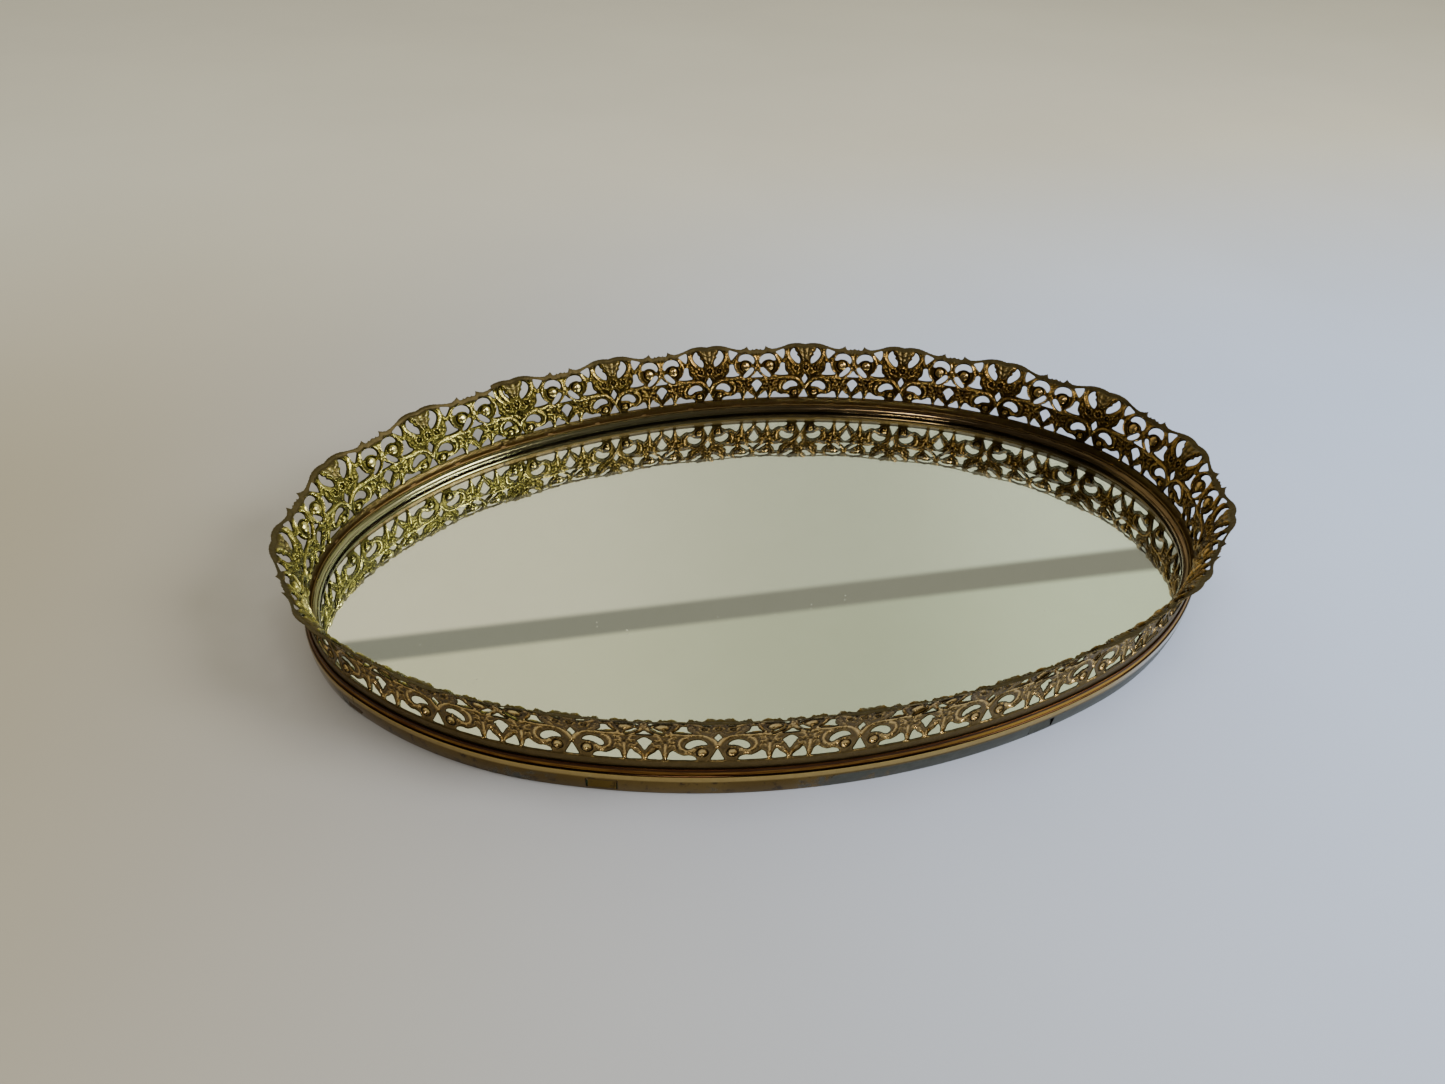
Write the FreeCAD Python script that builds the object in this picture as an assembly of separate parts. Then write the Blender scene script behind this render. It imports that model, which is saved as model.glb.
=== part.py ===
import FreeCAD, Part

import math
import os

from FreeCAD import Vector

# Oval mirror vanity tray with a stamped filigree gallery. Millimetres, +Z up, +X along the length.
# The origin is on the resting plane, under the centre of the oval.
#
# Every ring follows one plan curve, the gallery line: an oval of eight tangent arcs. A profile is
# drawn as (offset, height) points, where offset is measured outwards from the gallery line, and is
# turned about the centre of each arc in turn.

# Gallery line
HALF_LENGTH = 197.5
HALF_WIDTH = 123.5
END_RADIUS = 85.1                  # radius of the arc at each end of the oval
END_TURN = math.radians(40)        # the end arc runs this far either side of the long axis
SHOULDER_TURN = math.radians(69)   # the shoulder arc ends here, and the side arc takes over

# Heights
MIRROR_TOP = 9.4
GLASS_THICKNESS = 2.4
SILVERING_THICKNESS = 0.1
CARD_THICKNESS = 1.1
FELT_THICKNESS = 1.6
CHANNEL_FLOOR = 11.2               # bottom of the groove that the gallery stands in
CHANNEL_UNDERSIDE = 10.7
LEDGE_TOP = 12.1                   # flat of the rim just inside the gallery

# Offsets of the flat pieces' edges from the gallery line
GLASS_EDGE = 0.6
BOARD_EDGE = -0.9
FELT_EDGE = 0.5

# Gallery: a strip of sheet, upright in its groove, then bowed inwards, then curled out at the top
GALLERY_SHEET = 0.5
SELVAGE_TOP = 15.6
BOW_RADIUS = 32.0
BOW_START = math.radians(-12.3)    # lean from upright, positive outwards
BOW_END = math.radians(39)
CURL_RADIUS = 4.7
CURL_END = math.radians(71)
REPEATS = 20                       # scallops round the tray
LAP_LENGTH = 12.0                  # how far the strip's ends lie over each other
LAP_SHIFT = 3.3                    # how much the repeat at the lap is cut short
LAP_START = 359.4                  # where the outer end lies, along the gallery line from +X
LAP_FOOT = 12.8                    # the outer end is trimmed to stop above the rim's lip
VALLEY_AFTER_LAP = 12.5            # from the lap's end to the next notch
SCALLOP_RADIUS = 15.0              # of the round notch between two scallops
SCALLOP_DEPTH = 1.5
UPPER_HOLE_RADIUS = 4.0
UPPER_HOLE_RISE = 22.0             # above the selvage's top, measured upright
UPPER_HOLE_SPREAD = 0.15           # from the middle of the scallop, as a share of the repeat
LOWER_HOLE_RADIUS = 3.2
LOWER_HOLE_RISE = 6.0
LOWER_HOLE_SPREAD = 0.27
HOLE_CUTTER_LENGTH = 40.0

# Lanced tabs in the rim's wall, which hold the card and the mirror up
TAB_COUNT = 6
FIRST_TAB = 164.8                  # along the gallery line from +X
TAB_WIDTH = 10.5
TAB_FOOT = 1.3
TAB_TIP = 5.8
TAB_CORNER = 1.6
TAB_SHEET = 0.5
TAB_LEAN = math.radians(14)
TAB_SLIT = 0.35
TAB_FOOT_OFFSET = 1.6              # outer face of a tab at its foot
TAB_ROOT = 0.6                     # how far a tab's root runs down into the wall
WINDOW_REACH = 3.0                 # depth of the cut through the wall
WINDOW_START = 1.0                 # how far outside the tab's face that cut begins

# Solder
SOLDER_TACKS = 40
SOLDER_TACK_LENGTH = 2.4
SOLDER_TACK_RISE = 0.75
SOLDER_TACK_SPREAD = 0.6           # along the ledge, inwards
SEAM_AT = 573.5                    # butt joint of the rim, along the gallery line from +X
SEAM_GAP = 0.2
SEAM_CUT_DEPTH = 12.0
SEAM_CUT_HEIGHT = 16.0
SEAM_CUT_BELOW = 1.0               # how far below the rim the cut begins
SEAM_SOLDER_LENGTH = 7.0
SEAM_SOLDER_LOW = 2.4
SEAM_SOLDER_HIGH = 8.0
SEAM_SOLDER_INSIDE = 0.8
SEAM_SOLDER_OUTSIDE = 2.0          # inside the wall's thickness, where the wall trims the pad


def gallery_arcs():
    """The eight arcs of the gallery line as (centre x, centre y, radius, start, end), from the right end."""
    end_cos, end_sin = math.cos(END_TURN), math.sin(END_TURN)
    shoulder_cos, shoulder_sin = math.cos(SHOULDER_TURN), math.sin(SHOULDER_TURN)
    # The shoulder and side radii make the quarter outline close on the half length and half width.
    length_left = HALF_LENGTH - END_RADIUS * (1 - end_cos)
    width_left = HALF_WIDTH - END_RADIUS * end_sin
    shoulder_run = end_cos - shoulder_cos
    shoulder_rise = shoulder_sin - end_sin
    side_rise = 1 - shoulder_sin
    determinant = shoulder_run * side_rise - shoulder_cos * shoulder_rise
    shoulder_radius = (length_left * side_rise - shoulder_cos * width_left) / determinant
    side_radius = (shoulder_run * width_left - shoulder_rise * length_left) / determinant
    end_x = HALF_LENGTH - END_RADIUS
    shoulder_x = end_x + (END_RADIUS - shoulder_radius) * end_cos
    shoulder_y = (END_RADIUS - shoulder_radius) * end_sin
    side_y = HALF_WIDTH - side_radius
    half = math.pi
    full = 2 * math.pi
    return [
        (end_x, 0, END_RADIUS, -END_TURN, END_TURN),
        (shoulder_x, shoulder_y, shoulder_radius, END_TURN, SHOULDER_TURN),
        (0, side_y, side_radius, SHOULDER_TURN, half - SHOULDER_TURN),
        (-shoulder_x, shoulder_y, shoulder_radius, half - SHOULDER_TURN, half - END_TURN),
        (-end_x, 0, END_RADIUS, half - END_TURN, half + END_TURN),
        (-shoulder_x, -shoulder_y, shoulder_radius, half + END_TURN, half + SHOULDER_TURN),
        (0, -side_y, side_radius, half + SHOULDER_TURN, full - SHOULDER_TURN),
        (shoulder_x, -shoulder_y, shoulder_radius, full - SHOULDER_TURN, full - END_TURN),
    ]


ARCS = gallery_arcs()
PERIMETER = sum(radius * (end - start) for _, _, radius, start, end in ARCS)
PITCH = (PERIMETER + LAP_SHIFT) / REPEATS
FIRST_VALLEY = LAP_START + LAP_LENGTH + VALLEY_AFTER_LAP


def station(distance):
    """The arc and the angle on it at a distance along the gallery line from +X, anticlockwise."""
    # Distances are counted from the middle of the first arc, so the walk starts half an arc back.
    walked = (distance + END_RADIUS * END_TURN) % PERIMETER
    for arc in ARCS:
        _, _, radius, start, end = arc
        length = radius * (end - start)
        if walked <= length:
            return arc, start + walked / radius
        walked -= length
    return ARCS[0], ARCS[0][3]


def outline(start, *moves):
    """A closed planar face from (offset, height) points: one point is a line, two are an arc."""
    here = Vector(start[0], 0, start[1])
    edges = []
    for move in moves:
        there = Vector(move[-1][0], 0, move[-1][1])
        if len(move) == 1:
            edges.append(Part.LineSegment(here, there).toShape())
        else:
            via = Vector(move[0][0], 0, move[0][1])
            edges.append(Part.Arc(here, via, there).toShape())
        here = there
    return Part.Face(Part.Wire(edges))


def swept_piece(profile, arc, start, end):
    """The profile turned about one arc's centre from the start angle to the end angle."""
    centre_x, centre_y, radius, _, _ = arc
    face = profile.copy()
    face.translate(Vector(radius, 0, 0))
    face.rotate(Vector(0, 0, 0), Vector(0, 0, 1), math.degrees(start))
    piece = face.revolve(Vector(0, 0, 0), Vector(0, 0, 1), math.degrees(end - start))
    piece.translate(Vector(centre_x, centre_y, 0))
    return piece


def joined(pieces):
    """One solid of pieces that share faces or overlap."""
    return pieces[0].multiFuse(pieces[1:]).removeSplitter()


def swept_ring(profile):
    """The profile swept all the way round the oval."""
    return joined([swept_piece(profile, arc, arc[3], arc[4]) for arc in ARCS])


def swept_stretch(profile, middle, length):
    """The profile swept along a stretch about its middle, over each arc that the stretch meets."""
    begin = (middle - length / 2 + END_RADIUS * END_TURN) % PERIMETER
    finish = begin + length
    pieces = []
    walked = 0.0
    for arc in ARCS:
        _, _, radius, start, end = arc
        arc_length = radius * (end - start)
        first = max(begin - walked, 0.0)
        last = min(finish - walked, arc_length)
        if last > first:
            pieces.append(swept_piece(profile, arc, start + first / radius, start + last / radius))
        walked += arc_length
    return joined(pieces) if len(pieces) > 1 else pieces[0]


def oval_plate(edge_offset, bottom, thickness):
    """A flat plate whose edge is offset from the gallery line."""
    edges = []
    for centre_x, centre_y, radius, start, end in ARCS:
        circle = Part.Circle(Vector(centre_x, centre_y, bottom), Vector(0, 0, 1), radius + edge_offset)
        edges.append(Part.ArcOfCircle(circle, start, end).toShape())
    return Part.Face(Part.Wire(edges)).extrude(Vector(0, 0, thickness))


def stand_at(shape, distance, offset, height):
    """Move a shape made at the origin, facing +X, to its place on the oval, facing outwards."""
    arc, angle = station(distance)
    shape.rotate(Vector(0, 0, 0), Vector(0, 0, 1), math.degrees(angle))
    reach = arc[2] + offset
    shape.translate(Vector(arc[0] + reach * math.cos(angle), arc[1] + reach * math.sin(angle), height))
    return shape


def rim_profile():
    """Roll-formed sheet: wall, top bead, cove, lip, gallery groove, ledge, ridge and mirror bead."""
    return outline(
        (1.2, 0.0),
        ((2.0, 4.5), (2.1, 8.6)),             # gently bulged outer wall
        ((1.97, 9.5), (1.5, 10.0)),           # bead at the wall's top
        ((1.3, 10.0),),                       # fine step under the cove
        ((0.98, 10.8), (0.95, 12.0)),         # cove
        ((0.65, 12.35), (0.35, 12.0)),        # rolled lip outside the gallery
        ((0.35, CHANNEL_FLOOR),),
        ((-0.3, CHANNEL_FLOOR),),
        ((-0.3, LEDGE_TOP),),
        ((-0.95, LEDGE_TOP),),
        ((-1.27, 12.42), (-1.6, 12.1)),       # fine ridge
        ((-3.35, 11.45), (-4.1, MIRROR_TOP)),  # half-round bead down to the mirror
        ((-3.55, MIRROR_TOP),),               # edge that presses on the glass
        ((-2.95, 10.95), (-1.6, 11.5)),       # hidden face of the bead
        ((-0.85, 11.3),),
        ((-0.85, CHANNEL_UNDERSIDE),),
        ((0.45, CHANNEL_UNDERSIDE),),
        ((0.6, 10.1), (0.95, 9.6)),
        ((1.4, 9.2), (1.6, 8.5)),
        ((1.5, 4.5), (0.7, 0.0)),             # hidden face of the wall
        ((1.2, 0.0),),
    )


def tab_shape(width, low, high, thickness, corner):
    """An upright plate facing +X, its foot at z = 0, with round top corners."""
    half = width / 2
    height = high - low
    diagonal = corner * (1 - math.sqrt(0.5))
    points = [
        Vector(0, -half, 0),
        Vector(0, -half, height - corner),
        Vector(0, -half + diagonal, height - diagonal),
        Vector(0, -half + corner, height),
        Vector(0, half - corner, height),
        Vector(0, half - diagonal, height - diagonal),
        Vector(0, half, height - corner),
        Vector(0, half, 0),
    ]
    edges = [
        Part.LineSegment(points[0], points[1]).toShape(),
        Part.Arc(points[1], points[2], points[3]).toShape(),
        Part.LineSegment(points[3], points[4]).toShape(),
        Part.Arc(points[4], points[5], points[6]).toShape(),
        Part.LineSegment(points[6], points[7]).toShape(),
        Part.LineSegment(points[7], points[0]).toShape(),
    ]
    return Part.Face(Part.Wire(edges)).extrude(Vector(-thickness, 0, 0))


def tab_window(distance):
    """The slit and opening that free one tab from the wall."""
    width = TAB_WIDTH + 2 * TAB_SLIT
    window = tab_shape(width, TAB_FOOT, TAB_TIP + TAB_SLIT, WINDOW_REACH, TAB_CORNER + TAB_SLIT)
    return stand_at(window, distance, TAB_FOOT_OFFSET + WINDOW_START, TAB_FOOT)


def tab(distance):
    """One tab, hinged at its foot and pushed in at its tip. Its root runs down into the wall."""
    plate = tab_shape(TAB_WIDTH, TAB_FOOT - TAB_ROOT, TAB_TIP, TAB_SHEET, TAB_CORNER)
    plate.translate(Vector(0, 0, -TAB_ROOT))
    plate.rotate(Vector(-TAB_SHEET / 2, 0, 0), Vector(0, 1, 0), -math.degrees(TAB_LEAN))
    return stand_at(plate, distance, TAB_FOOT_OFFSET, TAB_FOOT)


def make_rim():
    ring = swept_ring(rim_profile())
    places = [FIRST_TAB + PERIMETER * index / TAB_COUNT for index in range(TAB_COUNT)]
    ring = ring.cut([tab_window(place) for place in places])
    ring = joined([ring] + [tab(place) for place in places])
    corner = Vector(-SEAM_CUT_DEPTH / 2, -SEAM_GAP / 2, -SEAM_CUT_BELOW)
    gap = Part.makeBox(SEAM_CUT_DEPTH, SEAM_GAP, SEAM_CUT_HEIGHT, corner)
    return ring.cut(stand_at(gap, SEAM_AT, 0, 0))


def gallery_point(rise, lean, radius, start, shift):
    """The point of a gallery bend at a lean, shifted outwards across the sheet."""
    offset = start[0] + radius * (math.cos(rise) - math.cos(lean)) + shift * math.cos(lean)
    height = start[1] + radius * (math.sin(lean) - math.sin(rise)) - shift * math.sin(lean)
    return offset, height


def gallery_profile(inner, outer, foot):
    """Upright selvage, inward bow and outward curl of one sheet, between two distances across it."""
    bow_from = (0.0, SELVAGE_TOP)
    bow_middle = (BOW_START + BOW_END) / 2
    curl_from = gallery_point(BOW_START, BOW_END, BOW_RADIUS, bow_from, 0)
    curl_middle = (BOW_END + CURL_END) / 2

    def bow(lean, shift):
        return gallery_point(BOW_START, lean, BOW_RADIUS, bow_from, shift)

    def curl(lean, shift):
        return gallery_point(BOW_END, lean, CURL_RADIUS, curl_from, shift)

    return outline(
        (outer, foot),
        (bow(BOW_START, outer),),
        (bow(bow_middle, outer), bow(BOW_END, outer)),
        (curl(curl_middle, outer), curl(CURL_END, outer)),
        (curl(CURL_END, inner),),
        (curl(curl_middle, inner), bow(BOW_END, inner)),
        (bow(bow_middle, inner), bow(BOW_START, inner)),
        ((inner, foot),),
        ((outer, foot),),
    )


def gallery_top():
    """Height of the gallery's top edge, at the middle of the sheet."""
    bow_rise = BOW_RADIUS * (math.sin(BOW_END) - math.sin(BOW_START))
    curl_rise = CURL_RADIUS * (math.sin(CURL_END) - math.sin(BOW_END))
    return SELVAGE_TOP + bow_rise + curl_rise


def round_cutter(distance, height, radius):
    """A round bar that passes straight through the gallery."""
    start = Vector(-HOLE_CUTTER_LENGTH / 2, 0, 0)
    bar = Part.makeCylinder(radius, HOLE_CUTTER_LENGTH, start, Vector(1, 0, 0))
    return stand_at(bar, distance, 0, height)


def make_gallery():
    half = GALLERY_SHEET / 2
    band = swept_ring(gallery_profile(-half, half, CHANNEL_FLOOR))
    lap = gallery_profile(half, half + GALLERY_SHEET, LAP_FOOT)
    band = joined([band, swept_stretch(lap, LAP_START + LAP_LENGTH / 2, LAP_LENGTH)])
    cutters = []
    for index in range(REPEATS):
        valley = FIRST_VALLEY + index * PITCH
        middle = valley + PITCH / 2
        notch_height = gallery_top() - SCALLOP_DEPTH + SCALLOP_RADIUS
        cutters.append(round_cutter(valley, notch_height, SCALLOP_RADIUS))
        for side in (-1, 1):
            upper = middle + side * UPPER_HOLE_SPREAD * PITCH
            cutters.append(round_cutter(upper, SELVAGE_TOP + UPPER_HOLE_RISE, UPPER_HOLE_RADIUS))
            upper = valley + side * UPPER_HOLE_SPREAD * PITCH
            cutters.append(round_cutter(upper, SELVAGE_TOP + UPPER_HOLE_RISE, UPPER_HOLE_RADIUS))
            lower = middle + side * LOWER_HOLE_SPREAD * PITCH
            cutters.append(round_cutter(lower, SELVAGE_TOP + LOWER_HOLE_RISE, LOWER_HOLE_RADIUS))
    return band.cut(cutters)


def make_gallery_solder():
    """Small fillets between the ledge of the rim and the inner face of the gallery."""
    inner_face = -GALLERY_SHEET / 2
    foot = inner_face - SOLDER_TACK_SPREAD
    profile = outline(
        (inner_face, LEDGE_TOP),
        ((foot, LEDGE_TOP),),
        ((inner_face, LEDGE_TOP + SOLDER_TACK_RISE),),
        ((inner_face, LEDGE_TOP),),
    )
    spacing = PERIMETER / SOLDER_TACKS
    tacks = []
    for index in range(SOLDER_TACKS):
        tacks.append(swept_stretch(profile, (index + 0.5) * spacing, SOLDER_TACK_LENGTH))
    return Part.makeCompound(tacks)


def make_rim_seam_solder(rim):
    """A pad of solder across the butt joint, on the hidden face of the wall."""
    profile = outline(
        (SEAM_SOLDER_INSIDE, SEAM_SOLDER_LOW),
        ((SEAM_SOLDER_OUTSIDE, SEAM_SOLDER_LOW),),
        ((SEAM_SOLDER_OUTSIDE, SEAM_SOLDER_HIGH),),
        ((SEAM_SOLDER_INSIDE, SEAM_SOLDER_HIGH),),
        ((SEAM_SOLDER_INSIDE, SEAM_SOLDER_LOW),),
    )
    pad = swept_stretch(profile, SEAM_AT, SEAM_SOLDER_LENGTH).cut(rim)
    return max(pad.Solids, key=lambda solid: solid.Volume)


def save(name, shape):
    solids = shape.Solids
    volume = sum(solid.Volume for solid in solids)
    box = shape.optimalBoundingBox()
    print(name, "solids", len(solids), "valid", shape.isValid(), "volume", round(volume, 1),
          "x", round(box.XMin, 2), round(box.XMax, 2), "y", round(box.YMin, 2), round(box.YMax, 2),
          "z", round(box.ZMin, 2), round(box.ZMax, 2))
    shape.exportStep(os.path.join("parts", name + ".step"))


def main():
    os.makedirs("parts", exist_ok=True)
    glass_bottom = MIRROR_TOP - GLASS_THICKNESS
    silvering_bottom = glass_bottom - SILVERING_THICKNESS
    card_bottom = silvering_bottom - CARD_THICKNESS
    rim = make_rim()
    save("rim", rim)
    save("gallery", make_gallery())
    save("mirror_glass", oval_plate(GLASS_EDGE, glass_bottom, GLASS_THICKNESS))
    save("mirror_silvering", oval_plate(GLASS_EDGE, silvering_bottom, SILVERING_THICKNESS))
    save("backing_card", oval_plate(GLASS_EDGE, card_bottom, CARD_THICKNESS))
    save("base_board", oval_plate(BOARD_EDGE, FELT_THICKNESS, card_bottom - FELT_THICKNESS))
    save("felt_cover", oval_plate(FELT_EDGE, 0, FELT_THICKNESS))
    save("gallery_solder", make_gallery_solder())
    save("rim_seam_solder", make_rim_seam_solder(rim))
    print("gallery line", round(PERIMETER, 2), "repeat", round(PITCH, 3), "top", round(gallery_top(), 2))


main()
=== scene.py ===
import math

import bpy
import numpy as np
from mathutils import Matrix, Vector


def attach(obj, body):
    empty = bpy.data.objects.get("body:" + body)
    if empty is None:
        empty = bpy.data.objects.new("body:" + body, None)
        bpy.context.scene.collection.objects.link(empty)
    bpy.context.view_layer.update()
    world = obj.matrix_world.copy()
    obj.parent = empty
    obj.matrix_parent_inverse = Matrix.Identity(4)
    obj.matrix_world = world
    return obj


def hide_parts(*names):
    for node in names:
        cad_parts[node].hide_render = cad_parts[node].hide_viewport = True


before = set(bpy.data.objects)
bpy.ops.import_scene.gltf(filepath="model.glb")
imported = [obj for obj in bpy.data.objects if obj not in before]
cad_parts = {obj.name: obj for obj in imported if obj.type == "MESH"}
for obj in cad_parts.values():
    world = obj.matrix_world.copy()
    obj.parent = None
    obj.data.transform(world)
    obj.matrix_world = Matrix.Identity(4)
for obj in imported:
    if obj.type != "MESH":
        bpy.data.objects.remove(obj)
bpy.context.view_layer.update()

# Oval mirror vanity tray with a stamped filigree gallery.
# Lengths are in millimetres until a mesh is made, and mesh_object turns them into metres.

MM = 0.001
FAR = 1e9
CLOSE = 0.01

# Plan curve that every ring follows, the gallery line: an oval of eight tangent arcs
HALF_LENGTH = 197.5
HALF_WIDTH = 123.5
END_RADIUS = 85.1
END_TURN = math.radians(40)
SHOULDER_TURN = math.radians(69)

# Gallery strip, with v measured up the sheet from the selvage's top
SELVAGE_TOP = 15.6
STRIP_FOOT = -4.4
BOW_RADIUS = 32.0
BOW_START = math.radians(-12.3)
BOW_END = math.radians(39)
CURL_RADIUS = 4.7
STRIP_TOP = 31.3
SHEET = 0.42
REPEATS = 20
LAP_START = 359.4
LAP_LENGTH = 12.0
LAP_SHIFT = 3.3
VALLEY_AFTER_LAP = 12.5
LAP_STEP = 0.62
EDGE_THINNING = 0.55           # the sheet's thickness at its cut edges, as a part of the whole
BACK_RELIEF = 0.9              # relief on the sheet's outer face, as a part of that on its inner face
WAVES = ((0.16, 0.047, 1.0), (0.12, 0.113, 0.0))     # height, rate per millimetre and start
LEAN_IN = 0.2

# Mesh of one repeat
HALF_COLUMNS = 84
ROWS = 118


# ---- geometry helpers

def gallery_arcs():
    """The eight arcs of the gallery line as (centre x, centre y, radius, start, end)."""
    end_cos, end_sin = math.cos(END_TURN), math.sin(END_TURN)
    shoulder_cos, shoulder_sin = math.cos(SHOULDER_TURN), math.sin(SHOULDER_TURN)
    length_left = HALF_LENGTH - END_RADIUS * (1 - end_cos)
    width_left = HALF_WIDTH - END_RADIUS * end_sin
    shoulder_run = end_cos - shoulder_cos
    shoulder_rise = shoulder_sin - end_sin
    side_rise = 1 - shoulder_sin
    determinant = shoulder_run * side_rise - shoulder_cos * shoulder_rise
    shoulder_radius = (length_left * side_rise - shoulder_cos * width_left) / determinant
    side_radius = (shoulder_run * width_left - shoulder_rise * length_left) / determinant
    end_x = HALF_LENGTH - END_RADIUS
    shoulder_x = end_x + (END_RADIUS - shoulder_radius) * end_cos
    shoulder_y = (END_RADIUS - shoulder_radius) * end_sin
    side_y = HALF_WIDTH - side_radius
    half, full = math.pi, 2 * math.pi
    return [
        (end_x, 0, END_RADIUS, -END_TURN, END_TURN),
        (shoulder_x, shoulder_y, shoulder_radius, END_TURN, SHOULDER_TURN),
        (0, side_y, side_radius, SHOULDER_TURN, half - SHOULDER_TURN),
        (-shoulder_x, shoulder_y, shoulder_radius, half - SHOULDER_TURN, half - END_TURN),
        (-end_x, 0, END_RADIUS, half - END_TURN, half + END_TURN),
        (-shoulder_x, -shoulder_y, shoulder_radius, half + END_TURN, half + SHOULDER_TURN),
        (0, -side_y, side_radius, half + SHOULDER_TURN, full - SHOULDER_TURN),
        (shoulder_x, -shoulder_y, shoulder_radius, full - SHOULDER_TURN, full - END_TURN),
    ]


ARCS = gallery_arcs()
PERIMETER = sum(radius * (end - start) for _, _, radius, start, end in ARCS)
PITCH = (PERIMETER + LAP_SHIFT) / REPEATS
HALF_PITCH = PITCH / 2
FIRST_VALLEY = LAP_START + LAP_LENGTH + VALLEY_AFTER_LAP


def on_gallery_line(distance):
    """Position and outward direction at distances along the gallery line from +X, anticlockwise."""
    walked = np.mod(np.asarray(distance, float) + END_RADIUS * END_TURN, PERIMETER)
    place = np.zeros(walked.shape + (2,))
    outward = np.zeros(walked.shape + (2,))
    begun = 0.0
    for centre_x, centre_y, radius, start, end in ARCS:
        length = radius * (end - start)
        here = (walked >= begun) & (walked <= begun + length)
        angle = start + (walked[here] - begun) / radius
        direction = np.stack([np.cos(angle), np.sin(angle)], -1)
        outward[here] = direction
        place[here] = np.array([centre_x, centre_y]) + radius * direction
        begun += length
    return place, outward


def smooth_step(value):
    value = np.clip(value, 0, 1)
    return value * value * (3 - 2 * value)


def wall_table():
    """Offset, height and lean of the gallery's middle surface, at fine steps up the sheet."""
    step = 0.02
    v = np.arange(STRIP_FOOT, STRIP_TOP + 1, step)
    bow_length = BOW_RADIUS * (BOW_END - BOW_START)
    lean = np.where(v < bow_length, BOW_START + v / BOW_RADIUS, BOW_END + (v - bow_length) / CURL_RADIUS)
    bend = 0.7                     # half the height over which the sheet turns at the selvage's top
    lean = np.where(v < bend, (BOW_START + bend / BOW_RADIUS) * smooth_step((v + bend) / (2 * bend)), lean)
    offset = np.concatenate([[0], np.cumsum(np.sin(lean[:-1]) * step)])
    height = np.concatenate([[0], np.cumsum(np.cos(lean[:-1]) * step)]) + SELVAGE_TOP + STRIP_FOOT
    return v, offset, height, lean


WALL = wall_table()


def on_gallery(distance, v, out):
    """Points on the gallery: along the line, up the sheet, and outwards across the sheet."""
    table_v, table_offset, table_height, table_lean = WALL
    lean = np.interp(v, table_v, table_lean)
    offset = np.interp(v, table_v, table_offset) + out * np.cos(lean)
    height = np.interp(v, table_v, table_height) - out * np.sin(lean)
    place, outward = on_gallery_line(distance)
    flat = place + outward * offset[..., None]
    return np.concatenate([flat, height[..., None]], -1)


def mesh_object(name, points, faces, body="root", smooth_angle=50):
    """A mesh object from points in millimetres and faces of one size, riding on a body."""
    faces = np.ascontiguousarray(faces, np.int32)
    mesh = bpy.data.meshes.new(name)
    mesh.vertices.add(len(points))
    mesh.vertices.foreach_set("co", np.ascontiguousarray(points * MM, np.float32).ravel())
    mesh.loops.add(faces.size)
    mesh.loops.foreach_set("vertex_index", faces.ravel())
    mesh.polygons.add(len(faces))
    mesh.polygons.foreach_set("loop_start", np.arange(0, faces.size, faces.shape[1], dtype=np.int32))
    mesh.update(calc_edges=True)
    mesh.validate()
    smooth_shading(mesh, smooth_angle)
    piece = link_mesh(mesh)
    if body:
        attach(piece, body)
    return piece


def mixed_mesh_object(name, points, faces):
    """A mesh object from points in millimetres and faces of any size."""
    mesh = bpy.data.meshes.new(name)
    mesh.from_pydata((np.asarray(points) * MM).tolist(), [], faces)
    return link_mesh(mesh)


def smooth_shading(mesh, angle):
    """Smooth shading, except across edges sharper than an angle in degrees."""
    mesh.polygons.foreach_set("use_smooth", np.ones(len(mesh.polygons), bool))
    mesh.set_sharp_from_angle(angle=math.radians(angle))


def link_mesh(mesh):
    piece = bpy.data.objects.new(mesh.name, mesh)
    bpy.context.scene.collection.objects.link(piece)
    return piece


def add_attribute(piece, name, values):
    layer = piece.data.attributes.new(name, "FLOAT", "POINT")
    layer.data.foreach_set("value", np.ascontiguousarray(values, np.float32))


# ---- motif of the gallery

def closed_curve(points, steps=8):
    """A closed smooth curve through the points."""
    points = np.asarray(points, float)
    previous, following = np.roll(points, 1, 0), np.roll(points, -1, 0)
    after = np.roll(points, -2, 0)
    curve = []
    for step in range(steps):
        curve.append(spline_blend(previous, points, following, after, step / steps))
    return np.stack(curve, 1).reshape(-1, 2)


def spline_blend(p0, p1, p2, p3, t, tension=0.42):
    """Cardinal spline between p1 and p2, at t from 0 to 1."""
    m1 = tension * (p2 - p0)
    m2 = tension * (p3 - p1)
    return ((2 * t**3 - 3 * t**2 + 1) * p1 + (t**3 - 2 * t**2 + t) * m1
            + (3 * t**2 - 2 * t**3) * p2 + (t**3 - t**2) * m2)


def open_curve(points, steps=8):
    """An open smooth curve through the points."""
    points = np.asarray(points, float)
    padded = np.concatenate([points[:1], points, points[-1:]])
    curve = []
    for index in range(len(points) - 1):
        for step in range(steps):
            curve.append(spline_blend(*padded[index:index + 4], step / steps))
    curve.append(points[-1])
    return np.array(curve)


def distance_to_path(u, v, path):
    """Distance from every grid point to a polyline."""
    best = np.full(u.shape, FAR)
    for start, end in zip(path[:-1], path[1:]):
        run = end - start
        length = max(float(run @ run), 1e-12)
        t = np.clip(((u - start[0]) * run[0] + (v - start[1]) * run[1]) / length, 0, 1)
        best = np.minimum(best, np.hypot(u - start[0] - t * run[0], v - start[1] - t * run[1]))
    return best


def inside_path(u, v, path):
    """Which grid points lie inside a closed polyline, by counting crossings."""
    inside = np.zeros(u.shape, bool)
    for start, end in zip(path, np.roll(path, -1, 0)):
        if start[1] == end[1]:
            continue
        crosses = (start[1] > v) != (end[1] > v)
        at = start[0] + (v - start[1]) * (end[0] - start[0]) / (end[1] - start[1])
        inside ^= crosses & (u < at)
    return inside


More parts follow.
